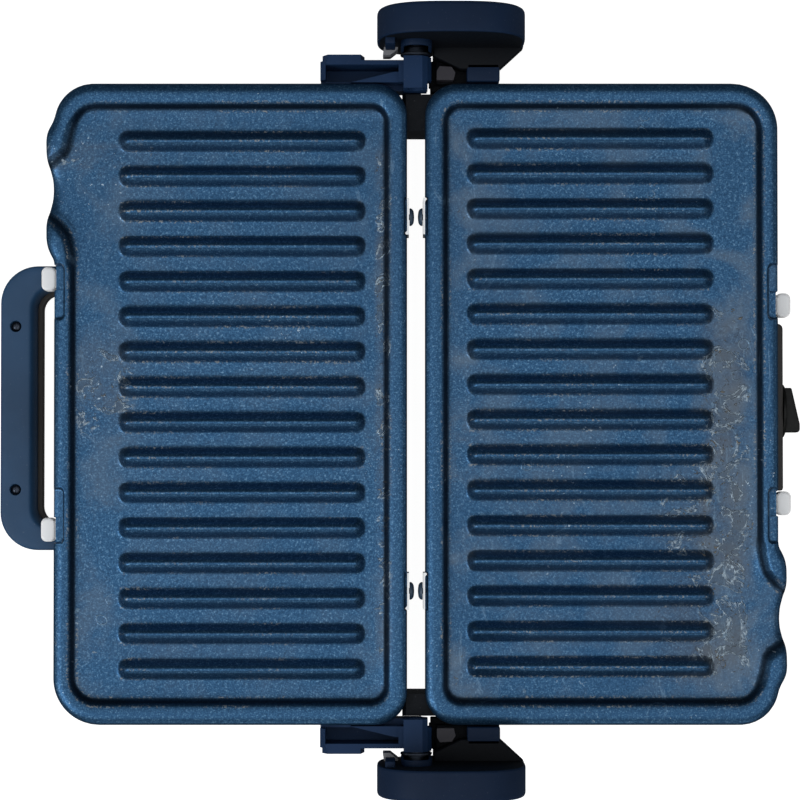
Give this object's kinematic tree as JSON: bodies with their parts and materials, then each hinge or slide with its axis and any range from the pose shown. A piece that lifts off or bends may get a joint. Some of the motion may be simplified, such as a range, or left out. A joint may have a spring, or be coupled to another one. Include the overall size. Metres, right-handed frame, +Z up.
{
  "type": "electric contact grill",
  "caption": "Countertop contact grill opened flat: two ribbed non-stick plates on a base and a hinged lid with handle, dial, plate releases and floating hinges.",
  "frame": {"origin": "bottom centre of the bounding box of the grill opened flat, on the table", "axes": "+X from the lid handle towards the front of the base, +Y along the hinge line, +Z up; rest pose is the grill opened flat to 180 degrees"},
  "size_m": [0.4464, 0.424, 0.1122],
  "materials": {
    "nonstick_coat": "speckled non-stick coating on cast aluminium",
    "housing_black": "fine-grained black plastic",
    "panel_black": "satin black plastic",
    "handle_black": "satin blue-black plastic",
    "steel": "brushed",
    "tinplate": "bright sheet",
    "heater_sheath": "heat-tinted tube",
    "ivory_plastic": "satin off-white plastic",
    "rubber": "matt",
    "grey_plastic": "matt grey plastic",
    "ceramic": "unglazed",
    "lens_red": "clear red",
    "lens_green": "clear green",
    "cable": "silicone sleeve"
  },
  "bodies": {
    "base": {"base_housing": "housing_black", "base_bottom_cover": "panel_black", "cover_screw_rear_right": "steel", "cover_screw_rear_left": "steel", "cover_screw_front_right": "steel", "cover_screw_front_left": "steel", "foot_rear_right": "rubber", "foot_rear_left": "rubber", "foot_front_right": "rubber", "foot_front_left": "rubber", "base_reflector": "tinplate", "base_heating_element": "heater_sheath", "front_panel": "panel_black", "power_lamp": "lens_red", "ready_lamp": "lens_green", "thermostat": "ceramic", "terminal_block": "ceramic", "cord_gland": "rubber", "thermal_fuse": "ceramic", "base_wiring": "cable", "hinge_bracket_left": "housing_black", "hinge_bracket_right": "housing_black", "hinge_cap_left": "housing_black", "hinge_cap_right": "housing_black", "hinge_stop_left": "grey_plastic", "hinge_stop_right": "grey_plastic", "latch_lever_left": "grey_plastic", "latch_lever_right": "grey_plastic", "base_clip_left": "steel", "base_clip_right": "steel", "base_clip_rivet_left": "grey_plastic", "base_clip_rivet_right": "grey_plastic"},
    "hinge_carriage": {"hinge_pin_left": "steel", "hinge_pin_right": "steel", "hinge_slider_left": "grey_plastic", "hinge_slider_right": "grey_plastic"},
    "lid": {"lid_housing": "housing_black", "lid_cover": "steel", "lid_reflector": "tinplate", "lid_heating_element": "heater_sheath", "lid_thermal_fuse": "ceramic", "lid_clip_right": "steel", "lid_clip_left": "steel", "lid_clip_rivet_right": "grey_plastic", "lid_clip_rivet_left": "grey_plastic", "lid_pad_front": "rubber", "lid_pad_rear": "rubber", "handle_inner_shell": "handle_black", "handle_outer_shell": "handle_black", "handle_screw_left": "steel", "handle_screw_right": "steel", "lid_arm_left": "housing_black", "lid_arm_right": "housing_black"},
    "base_plate": {"base_plate": "nonstick_coat"},
    "lid_plate": {"lid_plate": "nonstick_coat"},
    "knob": {"temperature_knob": "panel_black"},
    "base_button_left": {"base_button_left": "ivory_plastic"},
    "base_button_right": {"base_button_right": "ivory_plastic"},
    "lid_button_left": {"lid_button_left": "ivory_plastic"},
    "lid_button_right": {"lid_button_right": "ivory_plastic"}
  },
  "joints": [
    {"name": "lid_float", "type": "slide", "parent": "base", "child": "hinge_carriage", "axis": [0, 0, 1], "range_m": [0, 0.02]},
    {"name": "lid_hinge", "type": "hinge", "parent": "hinge_carriage", "child": "lid", "pos_m": [0.0085, 0, 0.062], "axis": [0, 1, 0], "range_deg": [0, 180]},
    {"name": "temperature_dial", "type": "hinge", "parent": "base", "child": "knob", "pos_m": [0.2122, -0.0034, 0.033], "axis": [-1, 0, 0], "range_deg": [0, 240]},
    {"name": "base_plate_lift", "type": "slide", "parent": "base", "child": "base_plate", "axis": [0, 0, -1], "range_m": [-0.06, 0]},
    {"name": "lid_plate_lift", "type": "slide", "parent": "lid", "child": "lid_plate", "axis": [0, 0, -1], "range_m": [-0.06, 0]},
    {"name": "base_release_left", "type": "slide", "parent": "base", "child": "base_button_left", "axis": [-1, 0, 0], "range_m": [0, 0.003], "stiffness_N_per_m": 600, "springref_m": -0.002},
    {"name": "base_release_right", "type": "slide", "parent": "base", "child": "base_button_right", "axis": [-1, 0, 0], "range_m": [0, 0.003], "stiffness_N_per_m": 600, "springref_m": -0.002},
    {"name": "lid_release_left", "type": "slide", "parent": "lid", "child": "lid_button_left", "axis": [1, 0, 0], "range_m": [0, 0.003], "stiffness_N_per_m": 600, "springref_m": -0.002},
    {"name": "lid_release_right", "type": "slide", "parent": "lid", "child": "lid_button_right", "axis": [1, 0, 0], "range_m": [0, 0.003], "stiffness_N_per_m": 600, "springref_m": -0.002}
  ]
}
